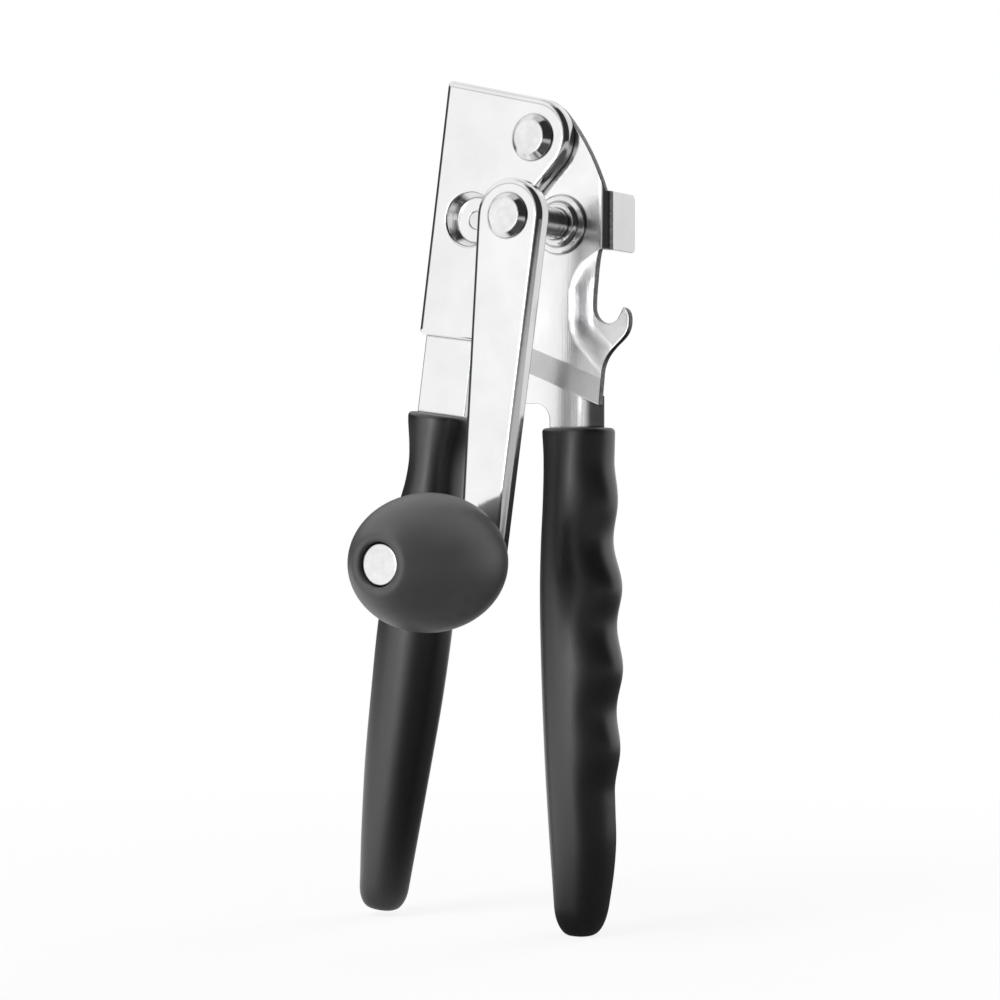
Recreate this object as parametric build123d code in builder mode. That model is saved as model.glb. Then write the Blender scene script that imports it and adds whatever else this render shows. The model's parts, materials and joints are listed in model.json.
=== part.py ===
# Manual can opener with a long crank: two riveted levers, a geared cutter and a hand crank.
# Millimetres. +Z runs from the grips up to the head, and the crank side faces -Y.
# Heights and sideways places are measured from the pivot rivet, depths from the front face of the rear plate.
from math import acos, asin, atan2, cos, degrees, hypot, radians, sin, sqrt, tan
import os

from build123d import *

os.makedirs("parts", exist_ok=True)

# Where the pivot and the rear plate stand in the part's frame
pivot_x = 15.72
rear_plate_y = 28.68

# Sheet metal and fits
rear_sheet = 2.0
front_sheet = 1.6
arm_sheet = 1.5
running_gap = 0.05
seat_gap = 0.02
plate_gap = 0.15
bush_clearance = 0.7

# Levers: the front one stands open by this angle, and its drawing is upright when the jaws are closed
handle_open_angle = 8.0
front_face_rise = 4.0
lobe_radius = 10.7
pan_left = 29.7
pan_corner_height = 13.9
pan_bottom_drop = 56.0
pan_corner_radius = 1.2
pan_edge_radius = 1.8
tang_mid_depth = -0.2

# Pivot rivet
rivet_shank_radius = 3.2
rivet_head_radius = 6.1
rivet_head_height = 2.4
rivet_head_bevel = 1.5
rivet_head_bevel_height = 1.7
rivet_tail_radius = 5.2
rivet_tail_height = 1.6
pivot_spacer_radius = 7.5
pivot_washer_radius = 7.0
pivot_washer_thickness = 1.0

# Crank shaft, its bush and what it carries
shaft_x = 6.3
shaft_drop = 23.4
shaft_radius = 3.2
shaft_flats = 5.0
bush_flange_radius = 7.8
bush_flange_thickness = 1.2
bush_collar_radius = 6.0
bush_collar_thickness = 1.6
bush_barrel_radius = 4.8
sleeve_radius = 4.2
shaft_head_radius = 5.8
shaft_head_height = 2.2
shaft_head_bevel = 1.2
shaft_head_bevel_height = 1.5
shaft_tail_radius = 4.4
shaft_tail_height = 1.4
drive_washer_radius = 7.0
drive_washer_thickness = 0.6
arm_washer_radius = 5.6
arm_washer_thickness = 0.8

# Crank arm and knob
crank_rest_angle = 5.9
crank_length = 90.2
arm_face_depth = -27.0
arm_depth = 4.2
arm_shaft_end_radius = 9.9
arm_knob_end_radius = 6.3
arm_edge_radius = 1.8
knob_length = 45.0
knob_radius = 17.8
knob_widest = 22.8
knob_foot_radius = 8.6
knob_bore_depth = 2.4
spindle_radius = 2.5
spindle_head_radius = 5.3
spindle_head_height = 1.5
spindle_head_gap = 0.4
spindle_tail_radius = 4.0
spindle_tail_height = 1.2
knob_washer_radius = 5.6
knob_washer_thickness = 0.6

# Cutter and gears: the cutter's place is drawn with the jaws closed
cutter_left = 17.1
cutter_drop = 23.3
dish_radius = 7.5
dish_floor_radius = 6.2
dish_depth = 3.7
dish_lip_radius = 0.7
drive_teeth = 16
cutter_teeth = 20
gear_thickness = 2.4
tooth_height_share = 0.85
tooth_root_share = 1.15
tooth_width_share = 0.40
tooth_foot_share = 1.45
tooth_tip_share = 0.5
feed_wheel_thickness = 2.4
feed_side_gap = 0.1
feed_wheel_teeth = 24
feed_tooth_height = 1.0
feed_tooth_tip_share = 0.33
cutter_radius = 13.5
cutter_thickness = 1.5
cutter_bevel = 2.6
cutter_edge_thickness = 0.3
cutter_bite = 0.8
cutter_side_gap = 0.2
stud_shank_radius = 2.5
stud_shoulder_radius = 4.0
stud_tail_radius = 5.6
stud_tail_height = 1.4
cutter_washer_radius = 6.5
cutter_spacer_radius = 6.5

# Rear plate outline, stop tab and cap lifter
rear_lobe_radius = 10.2
rear_lobe_left_angle = 200.0
rear_lobe_right_angle = 40.0
rear_slope_x = 14.2
rear_slope_drop = 2.6
rear_left = 6.2
rear_shoulder_drop = 71.2
rear_shoulder_radius = 2.0
rear_tang_fillet = 4.6
tab_face_x = 20.6
tab_ear = 0.8
tab_top_drop = 15.0
tab_height = 15.6
tab_length = 15.3
tab_bend_radius = 2.4
tab_corner_radius = 1.6
tab_foot_lean = 0.3
hook_root_x = 15.8
hook_notch_radius = 4.5
hook_notch_drop = 45.8
hook_notch_foot_angle = 310.0
hook_tip_x = 24.9
hook_tip_drop = 46.2
hook_tip_lean = 0.4
hook_reach = 26.5
hook_belly_drop = 51.0
hook_tail_drop = 65.5
hook_step = 1.2
hook_step_slope = 7.0
hook_step_left = 8.6
hook_step_head_drop = 26.0
hook_step_top_drop = 36.0
hook_step_bottom_drop = 53.0
hook_step_tail_drop = 72.0
hook_step_corner = 10.0
hook_step_sweep_angle = 156.0
hook_step_stations = 6
joggle_drop = 57.2
joggle_length = 6.6
joggle_angle = 22.0

# Tangs inside the grips
rear_tang_left = 3.6
rear_tang_right = 18.8
front_tang_left = -28.6
front_tang_right = -13.2
flange_x = 12.3
flange_drop = 69.5
flange_radius = 8.5
flange_angle = 50.0
tang_neck_width = 8.0
tang_neck_drop = 86.0
tang_end_width = 7.0
tang_end_drop = 186.0

# Soft grips: along each lever from the pivot
rear_grip_top_drop = 78.0
rear_grip_length = 135.2
rear_grip_inner = 1.3
rear_grip_outer = 23.1
rear_grip_end_inner = 5.6
rear_grip_end_outer = 22.4
rear_grip_belly_drop = 122.0
finger_swells = 4
first_swell_drop = 97.5
swell_pitch = 22.2
swell_height = 1.9
front_grip_top_drop = 77.4
front_grip_length = 139.0
front_grip_top_left = -30.8
front_grip_top_right = -11.6
front_grip_neck_drop = 91.0
front_grip_neck_left = -28.7
front_grip_neck_right = -13.1
front_grip_belly_drop = 140.0
front_grip_belly_left = -32.6
front_grip_belly_right = -10.8
front_grip_tail_drop = 178.0
front_grip_tail_left = -31.9
front_grip_tail_right = -12.9
front_grip_end_left = -29.1
front_grip_end_right = -14.6
grip_half_depth = 9.0
grip_end_half_depth = 6.4
grip_top_edge = 1.2
grip_butt_edge = 3.4
grip_butt_length = 7.0
grip_slot_gap = 0.05
grip_stations = 30

# Depths and sizes that follow from the values above
pivot_z = rear_grip_top_drop + rear_grip_length
pan_rim_depth = -plate_gap
pan_height = front_face_rise - plate_gap
dish_floor_depth = dish_depth - front_face_rise
dish_back_depth = dish_floor_depth + front_sheet
front_tang_back = tang_mid_depth + front_sheet / 2
rear_tang_front = tang_mid_depth - rear_sheet / 2
gear_front_depth = rear_sheet + running_gap + drive_washer_thickness
gear_back_depth = gear_front_depth + gear_thickness
feed_back_depth = gear_back_depth + feed_side_gap + feed_wheel_thickness
cutter_front_depth = feed_back_depth + cutter_side_gap
cutter_back_depth = cutter_front_depth + cutter_thickness
bush_front_depth = -bush_flange_thickness - bush_collar_thickness
arm_back_depth = arm_face_depth + arm_sheet
sleeve_front_depth = arm_back_depth + arm_washer_thickness
knob_foot_depth = arm_face_depth - knob_washer_thickness - running_gap
knob_nose_depth = knob_foot_depth - knob_length
knob_egg_radius = (knob_length - knob_widest) / sqrt(1 - (knob_foot_radius / knob_radius) ** 2)
axis_distance = hypot(shaft_x + cutter_left, shaft_drop - cutter_drop)
mesh_angle = degrees(atan2(shaft_drop - cutter_drop, -cutter_left - shaft_x))
gear_module = 2 * axis_distance / (drive_teeth + cutter_teeth)
feed_wheel_radius = axis_distance + cutter_bite - cutter_radius
notch_radius = bush_flange_radius + bush_clearance
shaft_pivot_distance = hypot(shaft_x, shaft_drop)


def crank_side(x, z, depth, turn=0.0):
    """Plane that faces the crank side, placed from the pivot and turned clockwise as seen from there."""
    return Plane(
        origin=(pivot_x + x, rear_plate_y + depth, pivot_z + z),
        x_dir=(cos(radians(turn)), 0, -sin(radians(turn))),
        z_dir=(0, -1, 0),
    )


def turned_place(u, v, turn):
    """Sideways place and height of a point that is drawn before a clockwise turn about the pivot."""
    a = radians(turn)
    return u * cos(a) + v * sin(a), v * cos(a) - u * sin(a)


def at_pivot(depth):
    return crank_side(0, 0, depth)


def at_lever(depth):
    return crank_side(0, 0, depth, handle_open_angle)


def at_shaft(depth):
    return crank_side(shaft_x, -shaft_drop, depth)


def at_crank(depth):
    return crank_side(shaft_x, -shaft_drop, depth, crank_rest_angle)


def at_cutter(depth):
    x, z = turned_place(-cutter_left, -cutter_drop, handle_open_angle)
    return crank_side(x, z, depth, handle_open_angle)


def at_knob(depth):
    dx, dz = turned_place(0, -crank_length, crank_rest_angle)
    return crank_side(shaft_x + dx, dz - shaft_drop, depth, crank_rest_angle)


def polar(radius, angle, centre=(0, 0)):
    return centre[0] + radius * cos(radians(angle)), centre[1] + radius * sin(radians(angle))


def gear_outline(teeth, first_tooth_angle):
    """Corner points of a spur gear with stubby teeth, one tooth centred on the given angle."""
    pitch_radius = gear_module * teeth / 2
    root_radius = pitch_radius - tooth_root_share * gear_module
    tip_radius = pitch_radius + tooth_height_share * gear_module
    pitch_half = 180 * tooth_width_share / teeth
    step = 360 / teeth
    points = []
    for tooth in range(teeth):
        middle = first_tooth_angle + tooth * step
        points.append(polar(root_radius, middle - tooth_foot_share * pitch_half))
        points.append(polar(pitch_radius, middle - pitch_half))
        points.append(polar(tip_radius, middle - tooth_tip_share * pitch_half))
        points.append(polar(tip_radius, middle + tooth_tip_share * pitch_half))
        points.append(polar(pitch_radius, middle + pitch_half))
        points.append(polar(root_radius, middle + tooth_foot_share * pitch_half))
    return points


# Section of the keyed shaft ends, shared by the holes that they drive
with BuildSketch() as keyed_section:
    Circle(shaft_radius)
    Rectangle(2 * shaft_radius, shaft_flats, mode=Mode.INTERSECT)

with BuildSketch() as keyed_hole:
    Circle(shaft_radius + seat_gap)
    Rectangle(4 * shaft_radius, shaft_flats + 2 * seat_gap, mode=Mode.INTERSECT)

# Outline of the front plate's pan, with the jaws closed
corner_distance = hypot(pan_left, pan_corner_height)
lobe_top_angle = 90 - degrees(atan2(pan_corner_height, pan_left) - asin(lobe_radius / corner_distance))
tangent_reach = (lobe_radius + notch_radius) / shaft_pivot_distance
tangent_angle = degrees(atan2(-shaft_drop, shaft_x) + acos(tangent_reach))
notch_centre = (shaft_x, -shaft_drop)
notch_start = polar(notch_radius, tangent_angle + 180, notch_centre)
notch_end = (shaft_x - notch_radius, -shaft_drop)

with BuildSketch() as pan_outline:
    with BuildLine():
        lobe_start = polar(lobe_radius, lobe_top_angle)
        lobe_end = polar(lobe_radius, tangent_angle)
        Line((-pan_left, pan_corner_height), lobe_start)
        ThreePointArc(lobe_start, polar(lobe_radius, (lobe_top_angle + tangent_angle) / 2), lobe_end)
        Line(lobe_end, notch_start)
        ThreePointArc(notch_start, polar(notch_radius, (tangent_angle + 360) / 2, notch_centre), notch_end)
        Line(notch_end, (notch_end[0], -pan_bottom_drop))
        Line((notch_end[0], -pan_bottom_drop), (-pan_left, -pan_bottom_drop))
        Line((-pan_left, -pan_bottom_drop), (-pan_left, pan_corner_height))
    make_face()
    fillet(pan_outline.vertices().group_by(Axis.X)[0], pan_corner_radius)


def tang_points(left, right, grip_top_drop):
    """Sides of a tang below the top of its grip, from its right side round its end to its left side."""
    middle = (left + right) / 2
    return [
        (right, -grip_top_drop - grip_top_edge),
        (middle + tang_neck_width / 2, -tang_neck_drop),
        (middle + tang_end_width / 2, -tang_end_drop),
        (middle - tang_end_width / 2, -tang_end_drop),
        (middle - tang_neck_width / 2, -tang_neck_drop),
        (left, -grip_top_drop - grip_top_edge),
    ]


with BuildSketch() as front_tang_outline:
    Polygon(
        (front_tang_left, front_sheet - pan_bottom_drop),
        (front_tang_right, front_sheet - pan_bottom_drop),
        *tang_points(front_tang_left, front_tang_right, front_grip_top_drop),
        align=None,
    )

with BuildPart() as front_plate:
    with BuildSketch(at_lever(pan_rim_depth)):
        add(pan_outline.sketch)
    extrude(amount=pan_height)
    fillet(front_plate.faces().sort_by(Axis.Y)[0].edges(), pan_edge_radius)
    with BuildSketch(at_lever(pan_rim_depth)):
        add(pan_outline.sketch)
        offset(amount=-front_sheet, mode=Mode.REPLACE)
    extrude(amount=pan_height - front_sheet, mode=Mode.SUBTRACT)
    with BuildSketch(at_lever(front_tang_back)):
        add(front_tang_outline.sketch)
    extrude(amount=front_sheet)
    with BuildSketch(at_cutter(dish_back_depth)):
        Circle(dish_floor_radius + front_sheet)
    with BuildSketch(at_cutter(front_sheet - front_face_rise)):
        Circle(dish_radius + front_sheet)
    loft()
    with BuildSketch(at_cutter(dish_floor_depth)):
        Circle(dish_floor_radius)
    with BuildSketch(at_cutter(-front_face_rise)):
        Circle(dish_radius)
    loft(mode=Mode.SUBTRACT)
    front_rounds = front_plate.edges().group_by(Axis.Y)[0].filter_by(GeomType.CIRCLE)
    fillet(front_rounds.sort_by_distance(at_cutter(-front_face_rise).origin)[0], dish_lip_radius)
    with BuildSketch(at_cutter(dish_back_depth)):
        Circle(stud_shank_radius + seat_gap)
    extrude(amount=front_sheet, mode=Mode.SUBTRACT)
    with BuildSketch(at_pivot(0)):
        Circle(rivet_shank_radius + running_gap)
    extrude(amount=front_face_rise, mode=Mode.SUBTRACT)
front_plate.part.label = "front_plate"
export_step(front_plate.part, "parts/front_plate.step")

# Rear plate: flat outline, then the forward set of its tang, the set-back cap lifter and the bent tab
tab_middle = -tab_top_drop - tab_height / 2
notch_left = (hook_root_x, -hook_notch_drop)
notch_middle = (hook_root_x + hook_notch_radius, -hook_notch_drop)
flange_rise = (rear_tang_right - flange_x) * tan(radians(joggle_angle))

with BuildSketch() as rear_outline:
    with BuildLine():
        shoulder = (-rear_left, -rear_shoulder_drop)
        tab_top = (tab_face_x - tab_bend_radius, -tab_top_drop)
        tab_foot = (tab_face_x - tab_bend_radius, -tab_top_drop - tab_height)
        lobe_left = polar(rear_lobe_radius, rear_lobe_left_angle)
        lobe_right = polar(rear_lobe_radius, rear_lobe_right_angle)
        lobe_middle = polar(rear_lobe_radius, (rear_lobe_left_angle + rear_lobe_right_angle) / 2)
        ear = (tab_face_x - tab_ear, -tab_top_drop)
        ThreePointArc(lobe_left, lobe_middle, lobe_right)
        ThreePointArc(lobe_right, (rear_slope_x, -rear_slope_drop), ear)
        Line(ear, tab_top)
        Line(tab_top, tab_foot)
        Spline(tab_foot, notch_left, tangents=((-tab_foot_lean, -1), (0, -1)))
        notch_foot = polar(hook_notch_radius, hook_notch_foot_angle, notch_middle)
        notch_bottom = polar(hook_notch_radius, (180 + hook_notch_foot_angle) / 2, notch_middle)
        ThreePointArc(notch_left, notch_bottom, notch_foot)
        Line(notch_foot, (hook_tip_x, -hook_tip_drop))
        Spline(
            (hook_tip_x, -hook_tip_drop),
            (hook_reach, -hook_belly_drop),
            (rear_tang_right, -hook_tail_drop),
            tangents=((1, -hook_tip_lean), (0, -1)),
        )
        Polyline(
            (rear_tang_right, -hook_tail_drop),
            (rear_tang_right, -flange_drop - flange_rise),
            (flange_x, -flange_drop),
            *tang_points(rear_tang_left, flange_x, rear_grip_top_drop),
            (rear_tang_left, -rear_shoulder_drop),
            shoulder,
            (-rear_left, -shaft_drop + rear_lobe_radius),
            lobe_left,
        )
    make_face()
    tang_corner = (rear_tang_left, -rear_shoulder_drop)
    fillet(rear_outline.vertices().sort_by_distance(tang_corner)[0], rear_tang_fillet)
    fillet(rear_outline.vertices().sort_by_distance(shoulder)[0], rear_shoulder_radius)

joggle_plane = Plane(
    origin=(pivot_x, rear_plate_y, pivot_z - joggle_drop),
    x_dir=(sin(radians(joggle_angle)), 0, cos(radians(joggle_angle))),
    z_dir=(cos(radians(joggle_angle)), 0, -sin(radians(joggle_angle))),
)
plate_reach = joggle_drop + lobe_radius + tang_end_drop
flange_plane = Plane(
    origin=(pivot_x + flange_x, rear_plate_y + rear_tang_front, pivot_z - flange_drop),
    x_dir=(1, 0, 0),
    z_dir=(0, 0, -1),
)

with BuildSketch() as hook_step_area:
    Polygon(
        (hook_step_left, -hook_step_bottom_drop),
        (hook_step_left, -hook_step_top_drop),
        (hook_reach, -hook_step_head_drop),
        (2 * hook_reach, -hook_step_head_drop),
        (2 * hook_reach, -hook_step_tail_drop),
        (hook_reach, -hook_step_tail_drop),
        align=None,
    )
    fillet(hook_step_area.vertices().group_by(Axis.X)[0], hook_step_corner)

# Depth and inset of the soft step round the cap lifter, from the plate's face to the set-back face
hook_step_profile = []
for station in range(hook_step_stations + 1):
    share = station / hook_step_stations
    rise = sin(radians(hook_step_sweep_angle * (share - 0.5))) / sin(radians(hook_step_sweep_angle / 2))
    hook_step_profile.append((hook_step * (1 + rise) / 2, hook_step_slope * share))

with BuildPart() as hook_boss:
    with BuildSketch(at_pivot(rear_sheet + hook_step)):
        add(rear_outline.sketch)
    extrude(amount=hook_step)
    for depth, inset in hook_step_profile:
        with BuildSketch(at_pivot(rear_sheet + depth)):
            add(hook_step_area.sketch)
            offset(amount=-inset, mode=Mode.REPLACE)
    loft(mode=Mode.INTERSECT)

with BuildPart() as rear_plate:
    with BuildSketch(at_pivot(rear_sheet)):
        add(rear_outline.sketch)
    extrude(amount=rear_sheet - rear_tang_front)
    with BuildSketch(joggle_plane):
        Polygon(
            (plate_reach, 0),
            (0, 0),
            (-joggle_length, -rear_tang_front),
            (-plate_reach, -rear_tang_front),
            (-plate_reach, -rear_tang_front - rear_sheet),
            (-joggle_length, -rear_tang_front - rear_sheet),
            (0, -rear_sheet),
            (plate_reach, -rear_sheet),
            align=None,
        )
    extrude(amount=plate_reach, both=True, mode=Mode.INTERSECT)
    for depth, inset in hook_step_profile:
        with BuildSketch(at_pivot(depth)):
            add(hook_step_area.sketch)
            offset(amount=-inset, mode=Mode.REPLACE)
    loft(mode=Mode.SUBTRACT)
    add(hook_boss.part)
    with BuildSketch(flange_plane):
        with BuildLine():
            front_arc = CenterArc((0, -flange_radius), flange_radius, 90, -flange_angle)
            back_arc = CenterArc((0, -flange_radius), flange_radius - rear_sheet, 90, -flange_angle)
            Line(front_arc @ 0, back_arc @ 0)
            Line(front_arc @ 1, back_arc @ 1)
        make_face()
    extrude(amount=rear_grip_top_drop - flange_drop - seat_gap)
    with BuildSketch(at_pivot(tab_length)):
        with Locations((tab_face_x - rear_sheet / 2, tab_middle)):
            Rectangle(rear_sheet, tab_height)
    extrude(amount=tab_length)
    with BuildSketch(at_pivot(rear_sheet)):
        with Locations((tab_face_x - tab_bend_radius, tab_middle)):
            Rectangle(2 * tab_bend_radius, tab_height)
    extrude(amount=rear_sheet)
    bend_point = (pivot_x + tab_face_x, rear_plate_y, pivot_z + tab_middle)
    fillet(rear_plate.edges().filter_by(Axis.Z).sort_by_distance(bend_point)[0], tab_bend_radius)
    tab_end_face = rear_plate.faces().sort_by(Axis.Y)[-1]
    fillet(tab_end_face.edges().filter_by(Axis.X), tab_corner_radius)
    with BuildSketch(at_pivot(rear_sheet)):
        Circle(rivet_shank_radius + seat_gap)
        with Locations((shaft_x, -shaft_drop)):
            Circle(bush_barrel_radius + seat_gap)
    extrude(amount=rear_sheet, mode=Mode.SUBTRACT)
rear_plate.part.label = "rear_plate"
export_step(rear_plate.part, "parts/rear_plate.step")

# Pivot: headed rivet, ring between the plates, washer under the closed end
with BuildPart() as pivot_rivet:
    with BuildSketch(at_pivot(rear_sheet + pivot_washer_thickness)):
        Circle(rivet_shank_radius)
    extrude(amount=rear_sheet + pivot_washer_thickness + front_face_rise + running_gap)
    with BuildSketch(at_pivot(-front_face_rise - running_gap)):
        Circle(rivet_head_radius)
    extrude(amount=rivet_head_height)
    chamfer(pivot_rivet.faces().sort_by(Axis.Y)[0].edges(), rivet_head_bevel_height, rivet_head_bevel)
    with BuildSketch(at_pivot(rear_sheet + pivot_washer_thickness + rivet_tail_height)):
        Circle(rivet_tail_radius)
    extrude(amount=rivet_tail_height)
    chamfer(pivot_rivet.faces().sort_by(Axis.Y)[-1].edges(), rivet_tail_height / 2)
pivot_rivet.part.label = "pivot_rivet"
export_step(pivot_rivet.part, "parts/pivot_rivet.step")

with BuildPart() as pivot_spacer:
    with BuildSketch(at_pivot(0)):
        Circle(pivot_spacer_radius)
        Circle(rivet_shank_radius + seat_gap, mode=Mode.SUBTRACT)
    extrude(amount=front_face_rise - front_sheet - running_gap)
pivot_spacer.part.label = "pivot_spacer"
export_step(pivot_spacer.part, "parts/pivot_spacer.step")

with BuildPart() as pivot_washer:
    with BuildSketch(at_pivot(rear_sheet + pivot_washer_thickness)):
        Circle(pivot_washer_radius)
        Circle(rivet_shank_radius + seat_gap, mode=Mode.SUBTRACT)
    extrude(amount=pivot_washer_thickness)
pivot_washer.part.label = "pivot_washer"
export_step(pivot_washer.part, "parts/pivot_washer.step")

# Crank: shaft with keyed ends, flanged bush in the rear plate, sleeve, washers, drive gear and feed wheel
with BuildPart() as crank_shaft:
    with BuildSketch(at_shaft(gear_front_depth)):
        Circle(shaft_radius)
    extrude(amount=gear_front_depth - arm_back_depth)
    with BuildSketch(at_shaft(feed_back_depth)):
        add(keyed_section.sketch)
    extrude(amount=feed_back_depth - gear_front_depth)
    with BuildSketch(at_crank(arm_back_depth)):
        add(keyed_section.sketch)
    extrude(amount=arm_sheet)
    with BuildSketch(at_shaft(arm_face_depth)):
        Circle(shaft_head_radius)
    extrude(amount=shaft_head_height)
    chamfer(crank_shaft.faces().sort_by(Axis.Y)[0].edges(), shaft_head_bevel_height, shaft_head_bevel)
    with BuildSketch(at_shaft(feed_back_depth + shaft_tail_height)):
        Circle(shaft_tail_radius)
    extrude(amount=shaft_tail_height)
    chamfer(crank_shaft.faces().sort_by(Axis.Y)[-1].edges(), shaft_tail_height / 2)
crank_shaft.part.label = "crank_shaft"
export_step(crank_shaft.part, "parts/crank_shaft.step")

with BuildPart() as shaft_bush:
    with BuildSketch(at_shaft(rear_sheet)):
        Circle(bush_barrel_radius)
    extrude(amount=rear_sheet)
    with BuildSketch(at_shaft(0)):
        Circle(bush_flange_radius)
    extrude(amount=bush_flange_thickness)
    with BuildSketch(at_shaft(-bush_flange_thickness)):
        Circle(bush_collar_radius)
    extrude(amount=bush_collar_thickness)
    fillet(shaft_bush.edges().filter_by(GeomType.CIRCLE).group_by(Axis.Y)[0], bush_collar_thickness / 2)
    with BuildSketch(at_shaft(rear_sheet)):
        Circle(shaft_radius + running_gap)
    extrude(amount=rear_sheet - bush_front_depth, mode=Mode.SUBTRACT)
shaft_bush.part.label = "shaft_bush"
export_step(shaft_bush.part, "parts/shaft_bush.step")

crank_rings = (
    ("arm_washer", arm_back_depth, arm_washer_thickness, arm_washer_radius),
    ("shaft_sleeve", sleeve_front_depth, bush_front_depth - running_gap - sleeve_front_depth, sleeve_radius),
    ("drive_washer", rear_sheet + running_gap, drive_washer_thickness, drive_washer_radius),
)
for name, front, thickness, radius in crank_rings:
    with BuildPart() as crank_ring:
        with BuildSketch(at_shaft(front + thickness)):
            Circle(radius)
            Circle(shaft_radius + seat_gap, mode=Mode.SUBTRACT)
        extrude(amount=thickness)
    crank_ring.part.label = name
    export_step(crank_ring.part, f"parts/{name}.step")

with BuildPart() as drive_gear:
    with BuildSketch(at_shaft(gear_back_depth)):
        Polygon(*gear_outline(drive_teeth, mesh_angle), align=None)
        add(keyed_hole.sketch, mode=Mode.SUBTRACT)
    extrude(amount=gear_thickness)
drive_gear.part.label = "drive_gear"
export_step(drive_gear.part, "parts/drive_gear.step")

with BuildPart() as feed_wheel:
    with BuildSketch(at_shaft(feed_back_depth)):
        tooth_points = []
        for tooth in range(feed_wheel_teeth):
            angle = 360 * tooth / feed_wheel_teeth
            half_step = 180 / feed_wheel_teeth
            tooth_points.append(polar(feed_wheel_radius, angle - feed_tooth_tip_share * half_step))
            tooth_points.append(polar(feed_wheel_radius, angle + feed_tooth_tip_share * half_step))
            tooth_points.append(polar(feed_wheel_radius - feed_tooth_height, angle + half_step))
        Polygon(*tooth_points, align=None)
        add(keyed_hole.sketch, mode=Mode.SUBTRACT)
    extrude(amount=feed_wheel_thickness)
feed_wheel.part.label = "feed_wheel"
export_step(feed_wheel.part, "parts/feed_wheel.step")

# Crank arm: a tapered channel that is open towards the plates
with BuildSketch() as arm_outline:
    Circle(arm_shaft_end_radius)
    with Locations((0, -crank_length)):
        Circle(arm_knob_end_radius)
    make_hull()

with BuildPart() as crank_arm:
    with BuildSketch(at_crank(arm_face_depth + arm_depth)):
        add(arm_outline.sketch)
    extrude(amount=arm_depth)
    fillet(crank_arm.faces().sort_by(Axis.Y)[0].edges(), arm_edge_radius)
    with BuildSketch(at_crank(arm_face_depth + arm_depth)):
        add(arm_outline.sketch)
        offset(amount=-arm_sheet, mode=Mode.REPLACE)
    extrude(amount=arm_depth - arm_sheet, mode=Mode.SUBTRACT)
    with BuildSketch(at_crank(arm_back_depth)):
        add(keyed_hole.sketch)
        with Locations((0, -crank_length)):
            Circle(spindle_radius + seat_gap)
    extrude(amount=arm_sheet, mode=Mode.SUBTRACT)
crank_arm.part.label = "crank_arm"
export_step(crank_arm.part, "parts/crank_arm.step")

# Knob: an egg that turns on a headed spindle, with the bright head let into its nose
nose_floor_depth = knob_nose_depth + knob_bore_depth
spindle_head_front = nose_floor_depth - running_gap - spindle_head_height

with BuildPart() as crank_knob:
    with BuildSketch(Plane(origin=at_knob(knob_nose_depth).origin, x_dir=(1, 0, 0), z_dir=(0, 0, 1))):
        with Locations((0, knob_widest)):
            Ellipse(knob_radius, knob_egg_radius)
        Rectangle(2 * knob_radius, knob_length, align=(Align.MIN, Align.MIN), mode=Mode.INTERSECT)
    revolve(axis=Axis(at_knob(0).origin, (0, 1, 0)))
    with BuildSketch(at_knob(knob_foot_depth)):
        Circle(spindle_radius + running_gap)
    extrude(amount=knob_length, mode=Mode.SUBTRACT)
    with BuildSketch(at_knob(nose_floor_depth)):
        Circle(spindle_head_radius + spindle_head_gap)
    extrude(amount=knob_bore_depth, mode=Mode.SUBTRACT)
crank_knob.part.label = "crank_knob"
export_step(crank_knob.part, "parts/crank_knob.step")

with BuildPart() as knob_spindle:
    with BuildSketch(at_knob(arm_back_depth)):
        Circle(spindle_radius)
    extrude(amount=arm_back_depth - spindle_head_front)
    with BuildSketch(at_knob(spindle_head_front + spindle_head_height)):
        Circle(spindle_head_radius)
    extrude(amount=spindle_head_height)
    fillet(knob_spindle.faces().sort_by(Axis.Y)[0].edges(), spindle_head_height / 4)
    with BuildSketch(at_knob(arm_back_depth + spindle_tail_height)):
        Circle(spindle_tail_radius)
    extrude(amount=spindle_tail_height)
    chamfer(knob_spindle.faces().sort_by(Axis.Y)[-1].edges(), spindle_tail_height / 2)
knob_spindle.part.label = "knob_spindle"
export_step(knob_spindle.part, "parts/knob_spindle.step")

with BuildPart() as knob_washer:
    with BuildSketch(at_knob(arm_face_depth)):
        Circle(knob_washer_radius)
        Circle(spindle_radius + seat_gap, mode=Mode.SUBTRACT)
    extrude(amount=knob_washer_thickness)
knob_washer.part.label = "knob_washer"
export_step(knob_washer.part, "parts/knob_washer.step")

# Cutter: stud fixed in the dish, with the gear, a spacer and the cutting disc turning on its shoulder
with BuildPart() as cutter_stud:
    with BuildSketch(at_cutter(dish_back_depth)):
        Circle(stud_shank_radius)
    extrude(amount=front_sheet)
    with BuildSketch(at_cutter(cutter_back_depth + running_gap)):
        Circle(stud_shoulder_radius)
    extrude(amount=cutter_back_depth + running_gap - dish_back_depth)
    with BuildSketch(at_cutter(cutter_back_depth + running_gap + stud_tail_height)):
        Circle(stud_tail_radius)
    extrude(amount=stud_tail_height)
    chamfer(cutter_stud.faces().sort_by(Axis.Y)[-1].edges(), stud_tail_height / 2)
cutter_stud.part.label = "cutter_stud"
export_step(cutter_stud.part, "parts/cutter_stud.step")

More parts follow.
